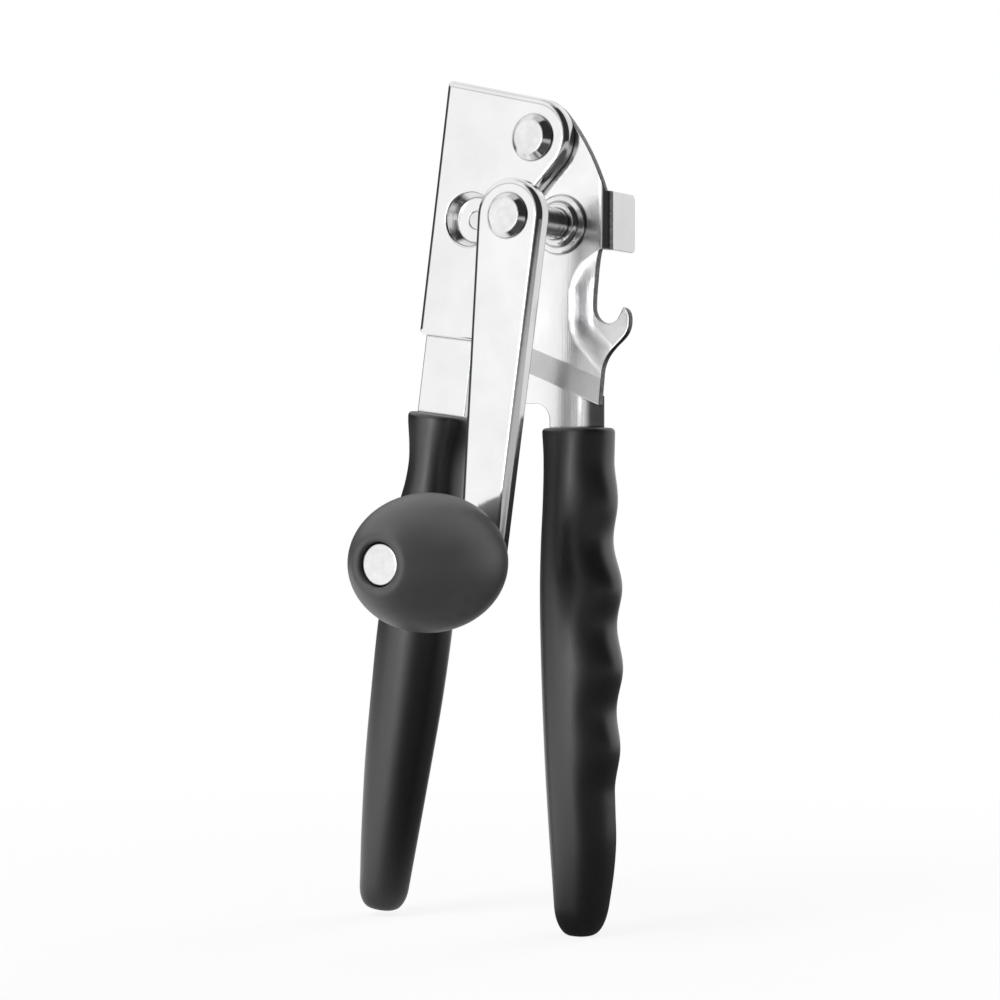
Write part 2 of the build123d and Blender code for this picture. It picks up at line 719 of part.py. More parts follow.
cutter_washer_thickness = gear_front_depth - running_gap - dish_back_depth
cutter_spacer_thickness = cutter_front_depth - gear_back_depth
cutter_rings = (
    ("cutter_washer", dish_back_depth, cutter_washer_thickness, cutter_washer_radius),
    ("cutter_spacer", gear_back_depth, cutter_spacer_thickness, cutter_spacer_radius),
)
for name, front, thickness, radius in cutter_rings:
    with BuildPart() as cutter_ring:
        with BuildSketch(at_cutter(front + thickness)):
            Circle(radius)
            Circle(stud_shoulder_radius + running_gap, mode=Mode.SUBTRACT)
        extrude(amount=thickness)
    cutter_ring.part.label = name
    export_step(cutter_ring.part, f"parts/{name}.step")

with BuildPart() as cutter_gear:
    with BuildSketch(at_cutter(gear_back_depth)):
        Polygon(*gear_outline(cutter_teeth, mesh_angle + 180 + 180 / cutter_teeth), align=None)
        Circle(stud_shoulder_radius + running_gap, mode=Mode.SUBTRACT)
    extrude(amount=gear_thickness)
cutter_gear.part.label = "cutter_gear"
export_step(cutter_gear.part, "parts/cutter_gear.step")

with BuildPart() as cutter_wheel:
    with BuildSketch(at_cutter(cutter_back_depth)):
        Circle(cutter_radius)
        Circle(stud_shoulder_radius + running_gap, mode=Mode.SUBTRACT)
    extrude(amount=cutter_thickness)
    cutter_rim = cutter_wheel.faces().sort_by(Axis.Y)[-1].outer_wire().edges()
    chamfer(cutter_rim, cutter_thickness - cutter_edge_thickness, cutter_bevel)
cutter_wheel.part.label = "cutter_wheel"
export_step(cutter_wheel.part, "parts/cutter_wheel.step")


def across_lever(across, along, turn):
    """Plane square to a lever, its Y side to the back, at a place drawn before the lever's turn."""
    x, z = turned_place(across, along, turn)
    return Plane(
        origin=(pivot_x + x, rear_plate_y + tang_mid_depth, pivot_z + z),
        x_dir=(cos(radians(turn)), 0, -sin(radians(turn))),
        z_dir=(sin(radians(turn)), 0, cos(radians(turn))),
    )


def bowl(drop, middle_drop, end_drop, middle_value, end_value):
    """Value that runs as a parabola from its middle to its end."""
    return middle_value + (end_value - middle_value) * ((drop - middle_drop) / (end_drop - middle_drop)) ** 2


def rounded_end(section, edge, length, direction):
    """Sections of a rounded end, from a section (drop, left, right, half depth) towards the tip."""
    drop, left, right, half_depth = section
    sections = []
    for angle in (0, 25, 50, 70, 90):
        shrink = edge * (1 - cos(radians(angle)))
        tip = direction * length * sin(radians(angle))
        sections.append((drop + tip, left + shrink, right - shrink, half_depth - shrink))
    return sections


def grip_groups(sections):
    """Body and rounded ends of a grip, each a list of sections for one loft."""
    top = rounded_end(sections[0], grip_top_edge, grip_top_edge, -1)
    butt = rounded_end(sections[-1], grip_butt_edge, grip_butt_length, 1)
    return sections, top, butt


# Rear grip: straight on the inside, with finger swells on the outside
rear_grip_end_drop = rear_grip_top_drop + rear_grip_length
rear_body_start = rear_grip_top_drop + grip_top_edge
rear_body_end = rear_grip_end_drop - grip_butt_length
rear_sections = []
for station in range(grip_stations + 1):
    drop = rear_body_start + (rear_body_end - rear_body_start) * station / grip_stations
    inner = bowl(drop, rear_grip_belly_drop, rear_grip_end_drop, rear_grip_inner, rear_grip_end_inner)
    outer = bowl(drop, rear_grip_belly_drop, rear_grip_end_drop, rear_grip_outer, rear_grip_end_outer)
    half_depth = bowl(drop, rear_grip_belly_drop, rear_grip_end_drop, grip_half_depth, grip_end_half_depth)
    if first_swell_drop < drop + swell_pitch / 2 < first_swell_drop + finger_swells * swell_pitch:
        outer += swell_height / 2 * cos(radians(360 * (drop - first_swell_drop) / swell_pitch))
    else:
        outer -= swell_height / 2
    rear_sections.append((drop, inner, outer, half_depth))

with BuildPart() as rear_grip:
    for group in grip_groups(rear_sections):
        for drop, inner, outer, half_depth in group:
            with BuildSketch(across_lever((inner + outer) / 2, -drop, 0)):
                Ellipse((outer - inner) / 2, half_depth)
        loft()
    with BuildSketch(at_pivot(tang_mid_depth + rear_sheet / 2 + grip_slot_gap)):
        add(rear_outline.sketch)
        offset(amount=grip_slot_gap, mode=Mode.REPLACE)
    extrude(amount=rear_sheet + 2 * grip_slot_gap, mode=Mode.SUBTRACT)
rear_grip.part.label = "rear_grip"
export_step(rear_grip.part, "parts/rear_grip.step")

# Front grip: smooth, with a waist below its top
front_grip_end_drop = front_grip_top_drop + front_grip_length
front_edges = (
    (front_grip_top_drop + grip_top_edge, front_grip_top_left, front_grip_top_right),
    (front_grip_neck_drop, front_grip_neck_left, front_grip_neck_right),
    (front_grip_belly_drop, front_grip_belly_left, front_grip_belly_right),
    (front_grip_tail_drop, front_grip_tail_left, front_grip_tail_right),
    (front_grip_end_drop - grip_butt_length, front_grip_end_left, front_grip_end_right),
)
front_sections = []
for drop, left, right in front_edges:
    half_depth = bowl(drop, front_grip_belly_drop, front_grip_end_drop, grip_half_depth, grip_end_half_depth)
    front_sections.append((drop, left, right, half_depth))

with BuildPart() as front_grip:
    for group in grip_groups(front_sections):
        for drop, left, right, half_depth in group:
            with BuildSketch(across_lever((left + right) / 2, -drop, handle_open_angle)):
                Ellipse((right - left) / 2, half_depth)
        loft()
    with BuildSketch(at_lever(front_tang_back + grip_slot_gap)):
        add(front_tang_outline.sketch)
        offset(amount=grip_slot_gap, mode=Mode.REPLACE)
    extrude(amount=front_sheet + 2 * grip_slot_gap, mode=Mode.SUBTRACT)
front_grip.part.label = "front_grip"
export_step(front_grip.part, "parts/front_grip.step")
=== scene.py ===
"""Looks of the manual can opener: satin-black grips, chrome plates, turned steel, soft studio light."""

import json
from math import cos, pi, radians, sin

import bpy
from mathutils import Matrix, Vector


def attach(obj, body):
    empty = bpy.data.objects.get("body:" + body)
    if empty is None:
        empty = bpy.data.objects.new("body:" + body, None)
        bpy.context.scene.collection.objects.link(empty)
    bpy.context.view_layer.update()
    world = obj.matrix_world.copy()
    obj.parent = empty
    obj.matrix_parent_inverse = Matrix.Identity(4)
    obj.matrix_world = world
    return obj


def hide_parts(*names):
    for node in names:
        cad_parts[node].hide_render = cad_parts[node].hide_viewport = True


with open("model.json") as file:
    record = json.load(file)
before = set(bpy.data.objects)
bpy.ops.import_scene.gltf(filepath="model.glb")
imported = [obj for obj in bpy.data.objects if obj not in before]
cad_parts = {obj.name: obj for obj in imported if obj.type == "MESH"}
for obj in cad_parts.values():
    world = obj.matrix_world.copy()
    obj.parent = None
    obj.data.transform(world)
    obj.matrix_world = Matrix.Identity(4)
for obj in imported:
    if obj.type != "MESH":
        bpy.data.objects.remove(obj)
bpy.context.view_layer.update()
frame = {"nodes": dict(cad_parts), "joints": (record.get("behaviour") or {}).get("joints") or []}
nodes = frame["nodes"]


def hinge_place(name):
    """Where a joint's axis stands at rest."""
    for joint in frame["joints"]:
        if joint["name"] == name:
            return Vector(joint["pos_m"])
    raise KeyError(name)


# The pivot rivet's axis in the front plane of the rear plate, in metres
PIVOT = hinge_place("handle_pivot")
MILLIMETRE = 0.001

# Where most values of a noise lie, and the scales of textures over coordinates in metres
NOISE_LOW = 0.3
NOISE_HIGH = 0.7
SMUDGE_SCALE = 70
ROLLED_SCALE = 2600
HAIRLINE_SCALE = 900
EDGE_STREAK_SCALE = 1500
LATHE_SCALE = 900
STEEL_CLOUD_SCALE = 260
BLACK_CLOUD_SCALE = 45

# Edges that are rounded in shading only, in metres, and the rays that shading takes for edges and corners
PLATE_EDGE = 0.0005
STEEL_EDGE = 0.0007
KNOB_EDGE = 0.0022
SHADING_SAMPLES = 8

# Painted shade in corners where pieces meet: its width in metres, its tone, and the openness at which it is
# full and at which it ends
CORNER_SHADE_WIDTH = 0.001
CORNER_SHADE_TONE = 0.12
CORNER_SHADE_FULL = 0.45
CORNER_SHADE_NONE = 0.85

# Cut edges of the rear plate: dull, with a painted dark reflection on top, so many metres back from the
# pivot's plane, where the surface turns away from Y (the normal's share along Y at which this is full and
# at which it ends), in two tones
CUT_EDGE_DEPTH = 0.0034
CUT_EDGE_FULL = 0.3
CUT_EDGE_NONE = 0.6
CUT_EDGE_DARK = (0.07, 0.07, 0.075)
CUT_EDGE_PALE = (0.2, 0.2, 0.21)

# Grips: the front lever's turn at rest in degrees, the grips' middle along Y from the pivot in metres,
# the stations along a sleeve, the points round it, and the powers that shape its oval and its swells
LEVER_OPEN_ANGLE = 8.0
GRIP_DEPTH = -0.0002
GRIP_STATIONS = 90
GRIP_AROUND = 64
OVAL_POWER = 0.92
SWELL_POWER = 1.3

# Stage, in metres: half the floor's width, the lamps' target and the cards' distance
FLOOR_REACH = 20
OBJECT_MIDDLE = (0, 0, 0.12)
CARD_RADIUS = 1.1

# How brightly the room lights the object, the faces along a card, and the tone of a card's foot, which
# fades out between two heights in metres
ROOM_LEVEL = 0.45
CARD_STEPS = 24
CARD_FOOT_TONE = 0.36
CARD_FOOT_LOW = 0.045
CARD_FOOT_HIGH = 0.1

# Camera, at the photograph's place: level, so many degrees to the right of straight in front
CAMERA_ANGLE = 32.0
CAMERA_FROM_PIVOT = (0.361946, -0.599778, -0.097212)
CAMERA_LENS = 93.6


# Helpers for shader nodes


def new_material(name):
    """A material with its node tree and its main shader."""
    material = bpy.data.materials.new(name)
    material.use_nodes = True
    tree = material.node_tree
    shader = tree.nodes["Principled BSDF"]
    return material, tree, shader


def add(tree, kind, **values):
    """A node with attributes (plain names) and input values (names of sockets with blanks as underscores)."""
    node = tree.nodes.new(kind)
    for key, value in values.items():
        if hasattr(node, key):
            setattr(node, key, value)
        else:
            node.inputs[key.replace("_", " ")].default_value = value
    return node


def place(tree, origin=(0, 0, 0), scale=(1, 1, 1)):
    """Coordinates on the piece itself, measured from a point and stretched."""
    coords = add(tree, "ShaderNodeTexCoord")
    shift = add(tree, "ShaderNodeMapping")
    shift.inputs["Location"].default_value = [-start * stretch for start, stretch in zip(origin, scale)]
    shift.inputs["Scale"].default_value = scale
    tree.links.new(coords.outputs["Object"], shift.inputs["Vector"])
    return shift.outputs["Vector"]


def parts_of(tree, vector):
    """The X, Y and Z outputs of a vector."""
    node = add(tree, "ShaderNodeSeparateXYZ")
    tree.links.new(vector, node.inputs[0])
    return node.outputs


def calculate(tree, operation, first, second=None):
    """The result of a sum on one or two outputs."""
    node = add(tree, "ShaderNodeMath", operation=operation)
    tree.links.new(first, node.inputs[0])
    if second is not None:
        tree.links.new(second, node.inputs[1])
    return node.outputs[0]


def noise(tree, vector, scale, detail, roughness=0.55):
    """A cloudy value over the coordinates."""
    node = add(tree, "ShaderNodeTexNoise", Scale=scale, Detail=detail, Roughness=roughness)
    tree.links.new(vector, node.inputs["Vector"])
    return node.outputs["Fac"]


def span(tree, value, low, high, start=NOISE_LOW, end=NOISE_HIGH):
    """The value moved from start..end to low..high."""
    node = add(tree, "ShaderNodeMapRange")
    node.inputs["From Min"].default_value = start
    node.inputs["From Max"].default_value = end
    node.inputs["To Min"].default_value = low
    node.inputs["To Max"].default_value = high
    tree.links.new(value, node.inputs["Value"])
    return node.outputs["Result"]


def ramp(tree, value, stops):
    """A colour that runs through stops of (position, colour)."""
    node = add(tree, "ShaderNodeValToRGB")
    elements = node.color_ramp.elements
    while len(elements) < len(stops):
        elements.new(0.5)
    for element, (position, colour) in zip(elements, stops):
        element.position = position
        element.color = (*colour, 1.0)
    tree.links.new(value, node.inputs["Fac"])
    return node.outputs["Color"]


def mix(tree, mode, first, second, share=None):
    """Two colours in a blend mode, in full or by the share that another output gives."""
    node = add(tree, "ShaderNodeMix", data_type="RGBA", blend_type=mode)
    node.inputs["Factor"].default_value = 1.0
    if share is not None:
        tree.links.new(share, node.inputs["Factor"])
    tree.links.new(first, node.inputs["A"])
    tree.links.new(second, node.inputs["B"])
    return node.outputs["Result"]


def grey(tone):
    """A tone as a colour."""
    return (tone, tone, tone)


def mottled(tree, cloud, tone, dim, pale):
    """A colour that a noise varies between two multiples of it."""
    dimmer = [part * dim for part in tone]
    paler = [min(1.0, part * pale) for part in tone]
    return ramp(tree, cloud, ((NOISE_LOW, dimmer), (NOISE_HIGH, paler)))


def bump(tree, shader, heights, edge=None):
    """Bumps in a chain, each (height output, strength, distance in metres), over edges rounded in shading."""
    normal = None
    if edge is not None:
        normal = add(tree, "ShaderNodeBevel", samples=SHADING_SAMPLES, Radius=edge).outputs["Normal"]
    for height, strength, distance in heights:
        node = add(tree, "ShaderNodeBump", Strength=strength, Distance=distance)
        tree.links.new(height, node.inputs["Height"])
        if normal is not None:
            tree.links.new(normal, node.inputs["Normal"])
        normal = node.outputs["Normal"]
    tree.links.new(normal, shader.inputs["Normal"])


# Materials of the pieces


def painted_corner_shade(tree, colour):
    """The colour with painted shade: dark lines in the corners where pieces meet."""
    corner = add(tree, "ShaderNodeAmbientOcclusion", samples=SHADING_SAMPLES, Distance=CORNER_SHADE_WIDTH)
    painted_shade = span(tree, corner.outputs["AO"], CORNER_SHADE_TONE, 1.0, CORNER_SHADE_FULL, CORNER_SHADE_NONE)
    return mix(tree, "MULTIPLY", colour, painted_shade)


def dull_and_painted_dark_edge(tree, colour, back):
    """The colour with dull cut edges and a painted dark reflection on them, for a sheet across Y, in front of
    a depth in metres.
    """
    geometry = add(tree, "ShaderNodeNewGeometry")
    facing = parts_of(tree, geometry.outputs["Normal"])
    where = parts_of(tree, place(tree))
    across = calculate(tree, "ABSOLUTE", facing["Y"])
    sideways = span(tree, across, 1.0, 0.0, CUT_EDGE_FULL, CUT_EDGE_NONE)
    in_front = add(tree, "ShaderNodeMath", operation="LESS_THAN")
    in_front.inputs[1].default_value = back
    tree.links.new(where["Y"], in_front.inputs[0])
    edge = calculate(tree, "MULTIPLY", sideways, in_front.outputs[0])
    streak = noise(tree, place(tree, scale=(1, 0.2, 1)), EDGE_STREAK_SCALE, 3)
    # Streaked dull tones, far darker than steel: a painted dark reflection on the cut edges
    dull_and_painted_dark = ramp(tree, streak, ((NOISE_LOW, CUT_EDGE_DARK), (NOISE_HIGH, CUT_EDGE_PALE)))
    return mix(tree, "MIX", colour, dull_and_painted_dark, edge)


def chrome(name, tone, rough_low, rough_high, edge_back=None):
    """Plated sheet: faint rolling lines along the lever, smudges and hairline scratches."""
    material, tree, shader = new_material(name)
    shader.inputs["Metallic"].default_value = 1.0
    smudge = noise(tree, place(tree), SMUDGE_SCALE, 4)
    rolled = noise(tree, place(tree, scale=(1, 1, 0.03)), ROLLED_SCALE, 2)
    hairline = noise(tree, place(tree, scale=(1, 1, 0.012)), HAIRLINE_SCALE, 5, 0.7)
    tree.links.new(span(tree, smudge, rough_low, rough_high), shader.inputs["Roughness"])
    # The plate's colour carries painted shade in its corners
    colour = painted_corner_shade(tree, mottled(tree, smudge, tone, dim=0.95, pale=1.03))
    if edge_back is not None:
        colour = dull_and_painted_dark_edge(tree, colour, edge_back)
    tree.links.new(colour, shader.inputs["Base Color"])
    heights = ((rolled, 0.05, 0.0002), (hairline, 0.04, 0.0003), (smudge, 0.02, 0.002))
    bump(tree, shader, heights, PLATE_EDGE)
    return material


def turned(name, tone, centre, rough):
    """Turned or headed steel: lathe rings about the piece's own axis."""
    material, tree, shader = new_material(name)
    shader.inputs["Metallic"].default_value = 1.0
    rings = add(tree, "ShaderNodeTexWave", wave_type="RINGS", rings_direction="Y", Scale=LATHE_SCALE)
    rings.inputs["Distortion"].default_value = 0.6
    rings.inputs["Detail"].default_value = 2.0
    tree.links.new(place(tree, centre), rings.inputs["Vector"])
    cloud = noise(tree, place(tree), STEEL_CLOUD_SCALE, 4)
    tree.links.new(span(tree, cloud, rough * 0.8, rough * 1.25), shader.inputs["Roughness"])
    # The steel's colour carries painted shade in its corners
    colour = painted_corner_shade(tree, mottled(tree, cloud, tone, dim=0.9, pale=1.04))
    tree.links.new(colour, shader.inputs["Base Color"])
    bump(tree, shader, ((rings.outputs["Fac"], 0.05, 0.0002), (cloud, 0.05, 0.0003)), STEEL_EDGE)
    return material


def satin_black(name, tone, rough, grain, shine, coat=0.0, edge=None):
    """Moulded black: fine grain, cloudy sheen and a trace of handling."""
    material, tree, shader = new_material(name)
    shader.inputs["Specular IOR Level"].default_value = shine
    shader.inputs["Coat Weight"].default_value = coat
    shader.inputs["Coat Roughness"].default_value = rough
    fine = noise(tree, place(tree), grain, 2)
    cloud = noise(tree, place(tree), BLACK_CLOUD_SCALE, 4)
    tree.links.new(span(tree, cloud, rough * 0.93, rough * 1.08), shader.inputs["Roughness"])
    tree.links.new(mottled(tree, cloud, tone, dim=0.86, pale=1.18), shader.inputs["Base Color"])
    bump(tree, shader, ((fine, 0.12, 0.00012), (cloud, 0.03, 0.001)), edge)
    return material


cut_edge_back = PIVOT.y + CUT_EDGE_DEPTH
plate_chrome = chrome("plate_chrome", (0.885, 0.885, 0.89), rough_low=0.08, rough_high=0.13)
# The rear plate's cut edges are dull and carry a painted dark reflection
rear_chrome = chrome("rear_chrome", (0.91, 0.91, 0.915), 0.15, 0.2, edge_back=cut_edge_back)
arm_chrome = chrome("arm_chrome", (0.9, 0.9, 0.905), rough_low=0.07, rough_high=0.12)
grip_black = satin_black("grip_black", (0.005, 0.005, 0.0051), 0.36, grain=5200, shine=1.0, coat=0.4)
knob_black = satin_black("knob_black", (0.062, 0.062, 0.063), 0.42, grain=6500, shine=0.7, edge=KNOB_EDGE)

axes = {
    "pivot": PIVOT,
    "shaft": hinge_place("crank_turn"),
    "knob": hinge_place("knob_spin"),
    "cutter": hinge_place("cutter_spin"),
}
bright_on_axis = {
    "pivot": ("pivot_rivet", "pivot_spacer", "pivot_washer"),
    "shaft": ("crank_shaft", "shaft_bush", "shaft_sleeve", "arm_washer", "drive_washer"),
    "knob": ("knob_spindle", "knob_washer"),
    "cutter": ("cutter_stud", "cutter_washer", "cutter_spacer"),
}
gears_on_axis = {
    "shaft": ("drive_gear", "feed_wheel"),
    "cutter": ("cutter_gear", "cutter_wheel"),
}

# Each kind of steel: the end of its materials' names, its pieces by axis, tone and roughness
steels = (
    ("steel", bright_on_axis, (0.86, 0.86, 0.865), 0.12),
    ("gear_steel", gears_on_axis, (0.56, 0.56, 0.57), 0.32),
)


def wear(node_name, material):
    """Gives a CAD node its material."""
    mesh = nodes[node_name].data
    mesh.materials.clear()
    mesh.materials.append(material)


for ending, pieces_on_axis, tone, rough in steels:
    for axis, names in pieces_on_axis.items():
        steel = turned(f"{axis}_{ending}", tone, axes[axis], rough)
        for name in names:
            wear(name, steel)
wear("front_plate", plate_chrome)
wear("rear_plate", rear_chrome)
wear("crank_arm", arm_chrome)
wear("crank_knob", knob_black)


# Soft grips, as moulded sleeves


def add_piece(name, points, faces, material):
    """A mesh object in the scene."""
    mesh = bpy.data.meshes.new(name)
    mesh.from_pydata([tuple(point) for point in points], [], faces)
    mesh.materials.append(material)
    piece = bpy.data.objects.new(name, mesh)
    bpy.context.scene.collection.objects.link(piece)
    return piece


def lever_place(across, drop, depth, turn):
    """A point that is drawn on an upright lever, in millimetres from the pivot, after the lever's turn."""
    angle = radians(turn)
    x = across * cos(angle) - drop * sin(angle)
    z = -drop * cos(angle) - across * sin(angle)
    return PIVOT + Vector((x, depth, z)) * MILLIMETRE + Vector((0, GRIP_DEPTH, 0))


def curve_through(points, at):
    """Smooth value through (place, value) points: Hermite with slopes from the neighbours."""
    if at <= points[0][0]:
        return points[0][1]
    for i in range(len(points) - 1):
        (start, first), (end, second) = points[i], points[i + 1]
        if at <= end:
            before = points[max(i - 1, 0)]
            after = points[min(i + 2, len(points) - 1)]
            length = end - start
            first_slope = (second - before[1]) / (end - before[0]) * length
            second_slope = (after[1] - first) / (after[0] - start) * length
            share = (at - start) / length
            square = share**2
            cube = share**3
            value = (2 * cube - 3 * square + 1) * first
            value += (cube - 2 * square + share) * first_slope
            value += (3 * square - 2 * cube) * second
            value += (cube - square) * second_slope
            return value
    return points[-1][1]


def signed_power(value, power):
    """The power of a value's size, with the value's sign."""
    return abs(value) ** power * (1 if value >= 0 else -1)


def grip_stations(start, end, top_edge, butt_edge, butt_length):
    """Places along a sleeve as (drop, inset): a rounded top edge, the body and a rounded butt."""
    body_start = start + top_edge
    body_end = end - butt_length
    stations = []
    for angle in (90, 70, 50, 30, 12):
        reach, inset = 1 - sin(radians(angle)), 1 - cos(radians(angle))
        stations.append((start + top_edge * reach, top_edge * inset))
    for i in range(GRIP_STATIONS + 1):
        stations.append((body_start + (body_end - body_start) * i / GRIP_STATIONS, 0.0))
    for angle in range(10, 100, 10):
        reach, inset = sin(radians(angle)), 1 - cos(radians(angle))
        stations.append((body_end + butt_length * reach, butt_edge * inset))
    return stations


def grip(name, left, right, depth, turn, swells=None, top_edge=1.2, butt_edge=3.6, butt_length=7.5):
    """A moulded sleeve from its two side lines and its half depth, lists of (drop, value) in millimetres."""
    stations = grip_stations(left[0][0], left[-1][0], top_edge, butt_edge, butt_length)
    points, faces = [], []
    for drop, inset in stations:
        left_side = curve_through(left, drop) + inset
        right_side = curve_through(right, drop) - inset
        half_depth = curve_through(depth, drop) - inset
        middle = (left_side + right_side) / 2
        half_width = (right_side - left_side) / 2
        for i in range(GRIP_AROUND):
            angle = 2 * pi * i / GRIP_AROUND
            across = middle + half_width * signed_power(cos(angle), OVAL_POWER)
            if swells is not None and cos(angle) > 0:
                across += swells(drop) * cos(angle) ** SWELL_POWER
            points.append(lever_place(across, drop, half_depth * signed_power(sin(angle), OVAL_POWER), turn))
    for row in range(len(stations) - 1):
        upper = row * GRIP_AROUND
        lower = upper + GRIP_AROUND
        for i in range(GRIP_AROUND):
            following = (i + 1) % GRIP_AROUND
            faces.append((upper + i, upper + following, lower + following, lower + i))
    for row, is_top in ((0, True), (len(stations) - 1, False)):
        ring = range(row * GRIP_AROUND, (row + 1) * GRIP_AROUND)
        centre = len(points)
        points.append(sum((points[i] for i in ring), Vector((0, 0, 0))) / GRIP_AROUND)
        for i in range(GRIP_AROUND):
            this, following = ring[i], ring[(i + 1) % GRIP_AROUND]
            faces.append((following, this, centre) if is_top else (this, following, centre))
    sleeve = add_piece(name, points, faces, grip_black)
    sleeve.data.polygons.foreach_set("use_smooth", [True] * len(faces))
    sleeve.data.update()
    return sleeve


def finger_swells(drop):
    """Four swells for the fingers. Above and below them the side keeps the level of the dips."""
    first, pitch, count, height = 97.5, 22.2, 4, 0.95
    low, high = first - pitch / 2, first + (count - 0.5) * pitch
    if low < drop < high:
        return height * cos(2 * pi * (drop - first) / pitch)
    return -height


rear_left = [
    (78, 1.9), (86, 2.5), (97, 2.4), (109, 1.8), (122, 1.45),
    (140, 1.8), (160, 2.6), (186, 4.1), (200, 5.2), (213.2, 6.2),
]
rear_right = [
    (78, 22.9), (90, 22.4), (98, 21.9), (109, 22.2), (121, 23.3), (130, 23.3), (142, 23.5), (150, 23.3),
    (160, 22.9), (168, 22.5), (180, 22.9), (188, 23.2), (196, 22.6), (203, 21.5), (208, 20.6), (213.2, 20.0),
]
rear_depth = [(78, 8.2), (95, 8.6), (122, 9.0), (160, 8.7), (190, 7.8), (213.2, 6.6)]
rear_sleeve = grip("rear_sleeve", rear_left, rear_right, rear_depth, 0.0, finger_swells)

front_left = [
    (77.4, -30.5), (80, -30.2), (86, -28.9), (91, -28.3), (97, -28.7), (102, -29.7), (118, -31.7),
    (137, -32.3), (156, -31.95), (175, -31.4), (190, -30.4), (200, -29.6), (208, -28.8), (216.4, -28.2),
]
front_right = [
    (77.4, -11.6), (80, -11.8), (86, -12.8), (91, -13.1), (97, -12.8), (102, -12.2), (118, -11.3),
    (137, -11.05), (156, -11.55), (175, -12.7), (196, -14.1), (208, -14.9), (216.4, -15.4),
]
front_depth = [
    (77.4, 8.3), (91, 7.9), (102, 8.3), (137, 9.0), (156, 8.9), (175, 8.4), (196, 7.5), (216.4, 6.3),
]
front_sleeve = grip(
    "front_sleeve", front_left, front_right, front_depth, LEVER_OPEN_ANGLE, butt_edge=3.0, butt_length=6.0
)

sleeves = (
    (rear_sleeve, "rear_grip", "rear_lever"),
    (front_sleeve, "front_grip", "front_lever"),
)
for piece, node, body in sleeves:
    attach(piece, body)
    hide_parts(node)


# Stage: pale floor, white room, soft boxes, and cards that only reflections show


def floor_material():
    """Pale floor with a faint shadow that runs out into white. Reflections show its right side dark."""
    shadow_start, shadow_end, shadow_white = 0.08, 0.4, 0.86
    dark_start, dark_end, dark_tone = -0.09, 0.01, 0.08
    far_start, far_end, far_tone = 0.4, 0.6, 0.5
    material, tree, shader = new_material("floor_pale")
    tree.nodes.remove(shader)
    path = add(tree, "ShaderNodeLightPath")
    in_reflection = path.outputs["Is Glossy Ray"]
    coords = add(tree, "ShaderNodeTexCoord")
    length = add(tree, "ShaderNodeVectorMath", operation="LENGTH")
    aside = add(tree, "ShaderNodeVectorMath", operation="DOT_PRODUCT")
    aside.inputs[1].default_value = (0.995, 0.1, 0)
    tree.links.new(coords.outputs["Object"], length.inputs[0])
    tree.links.new(coords.outputs["Object"], aside.inputs[0])
    distance = length.outputs["Value"]
    near = span(tree, aside.outputs["Value"], 1.0, dark_tone, dark_start, dark_end)
    far = span(tree, distance, 0.0, far_tone, far_start, far_end)
    strength = add(tree, "ShaderNodeMix", data_type="FLOAT")
    strength.inputs["A"].default_value = 1.0
    tree.links.new(in_reflection, strength.inputs["Factor"])
    tree.links.new(calculate(tree, "MAXIMUM", far, near), strength.inputs["B"])
    fade = span(tree, distance, shadow_white, 1.0, shadow_start, shadow_end)
    to_camera = calculate(tree, "MULTIPLY", path.outputs["Is Camera Ray"], fade)
    diffuse = add(tree, "ShaderNodeBsdfDiffuse", Color=(0.8, 0.8, 0.8, 1))
    white = add(tree, "ShaderNodeEmission", Color=(1, 1, 1, 1))
    both = add(tree, "ShaderNodeMixShader")
    tree.links.new(strength.outputs["Result"], white.inputs["Strength"])
    tree.links.new(calculate(tree, "MAXIMUM", to_camera, in_reflection), both.inputs["Fac"])
    tree.links.new(diffuse.outputs[0], both.inputs[1])
    tree.links.new(white.outputs[0], both.inputs[2])
    tree.links.new(both.outputs[0], tree.nodes["Material Output"].inputs["Surface"])
    return material


floor_corners = [
    (-FLOOR_REACH, -FLOOR_REACH, 0),
    (FLOOR_REACH, -FLOOR_REACH, 0),
    (FLOOR_REACH, FLOOR_REACH, 0),
    (-FLOOR_REACH, FLOOR_REACH, 0),
]
floor = add_piece("floor", floor_corners, [(0, 1, 2, 3)], floor_material())


def world_light(level, bands):
    """Even light of a white room: white to the camera, and in reflections banded by (height, tone)."""
    world = bpy.data.worlds.new("white_room")
    world.use_nodes = True
    bpy.context.scene.world = world
    tree = world.node_tree
    background = tree.nodes["Background"]
    background.inputs["Color"].default_value = (1, 1, 1, 1)
    path = add(tree, "ShaderNodeLightPath")
    to_camera = path.outputs["Is Camera Ray"]
    coords = add(tree, "ShaderNodeTexCoord")
    rise = parts_of(tree, coords.outputs["Generated"])["Z"]
    ceiling = ramp(tree, rise, [(height, grey(tone)) for height, tone in bands])
    strength = add(tree, "ShaderNodeMapRange")
    strength.inputs["To Min"].default_value = level
    seen = calculate(tree, "MAXIMUM", to_camera, path.outputs["Is Glossy Ray"])
    tree.links.new(calculate(tree, "MAXIMUM", ceiling, to_camera), strength.inputs["To Max"])
    tree.links.new(seen, strength.inputs["Value"])
    tree.links.new(strength.outputs["Result"], background.inputs["Strength"])


ceiling_bands = ((0.22, 1.0), (0.3, 0.55), (0.38, 0.55), (0.48, 0.93), (0.9, 0.93), (0.97, 0.6))
world_light(ROOM_LEVEL, ceiling_bands)


def soft_box(name, place_at, size, power):
    """Square lamp towards the object, in metres and watts, which reflections don't show."""
    light = bpy.data.lights.new(name, "AREA")
    light.shape = "SQUARE"
    light.size = size
    light.energy = power
    lamp = bpy.data.objects.new(name, light)
    bpy.context.scene.collection.objects.link(lamp)
    lamp.visible_glossy = False
    lamp.location = place_at
    towards = Vector(OBJECT_MIDDLE) - Vector(place_at)
    lamp.rotation_euler = towards.to_track_quat("-Z", "Y").to_euler()


soft_box("key", (-0.28, -0.82, 1.05), size=0.5, power=11)
soft_box("rim", (0.3, 0.9, 1.0), size=0.6, power=6)


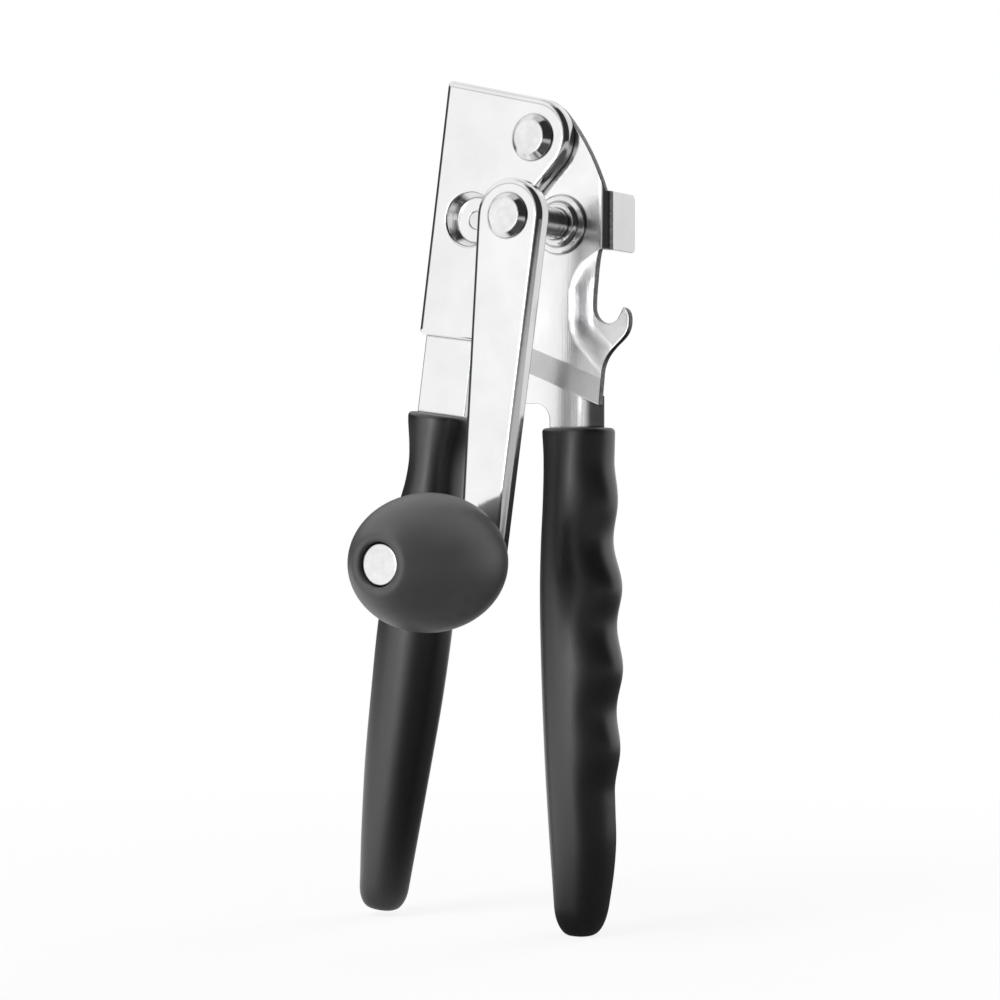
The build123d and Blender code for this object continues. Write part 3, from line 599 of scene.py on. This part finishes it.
def card_material(name, tones):
    """Glow along a card's curve by tones of (degrees from its middle, brightness), with a lighter foot."""
    material, tree, shader = new_material(name)
    tree.nodes.remove(shader)
    start, end = tones[0][0], tones[-1][0]
    brightest = max(tone for at, tone in tones)
    coords = add(tree, "ShaderNodeTexCoord")
    where = parts_of(tree, coords.outputs["Object"])
    angle = calculate(tree, "ARCTAN2", where["Y"], where["X"])
    along = span(tree, angle, 0.0, 1.0, radians(start), radians(end))
    stops = [((at - start) / (end - start), grey(tone / brightest)) for at, tone in tones]
    foot = span(tree, where["Z"], CARD_FOOT_TONE / brightest, 0.0, CARD_FOOT_LOW, CARD_FOOT_HIGH)
    glow = add(tree, "ShaderNodeEmission", Strength=brightest)
    tree.links.new(mix(tree, "LIGHTEN", ramp(tree, along, stops), foot), glow.inputs["Color"])
    tree.links.new(glow.outputs[0], tree.nodes["Material Output"].inputs["Surface"])
    return material


def curved_card(name, middle_angle, tones, height):
    """Upright card that bends round the object, its middle so many degrees round from +X."""
    start, end = tones[0][0], tones[-1][0]
    points, faces = [], []
    for i in range(CARD_STEPS + 1):
        angle = radians(start + (end - start) * i / CARD_STEPS)
        for level in (0.0, height):
            points.append((CARD_RADIUS * cos(angle), CARD_RADIUS * sin(angle), level))
    for i in range(CARD_STEPS):
        faces.append((2 * i, 2 * i + 2, 2 * i + 3, 2 * i + 1))
    card = add_piece(name, points, faces, card_material(name + "_tone", tones))
    card.rotation_euler = (0, 0, radians(middle_angle))
    card.visible_camera = False
    card.visible_diffuse = False


# Two dark cards for the bands in the chrome, and a bright strip for the streak on the grips
right_tones = ((-72, 1.0), (-54, 0.35), (-42, 0.03), (52, 0.03), (66, 0.76), (100, 0.76), (112, 1.0))
left_tones = ((-48, 1.0), (-40, 0.05), (45, 0.05), (58, 1.0))
strip_tones = ((-11, 1.0), (-8, 5.0), (8, 5.0), (11, 1.0))
curved_card("card_right", -30, right_tones, height=4.0)
curved_card("card_left", 165, left_tones, height=0.55)
curved_card("strip_front", -102, strip_tones, height=0.34)


# Camera
camera_data = bpy.data.cameras.new("camera")
camera_data.sensor_width = 36.0
camera_data.lens = CAMERA_LENS
camera_data.clip_start = 0.01
camera = bpy.data.objects.new("camera", camera_data)
bpy.context.scene.collection.objects.link(camera)
camera_turn = radians(CAMERA_ANGLE)
eye_x, eye_y, eye_z = [start + offset for start, offset in zip(PIVOT, CAMERA_FROM_PIVOT)]
camera.matrix_world = Matrix(
    (
        (cos(camera_turn), 0, sin(camera_turn), eye_x),
        (sin(camera_turn), 0, -cos(camera_turn), eye_y),
        (0, 1, 0, eye_z),
        (0, 0, 0, 1),
    )
)
bpy.context.scene.camera = camera
bpy.context.scene.view_settings.view_transform = "Standard"
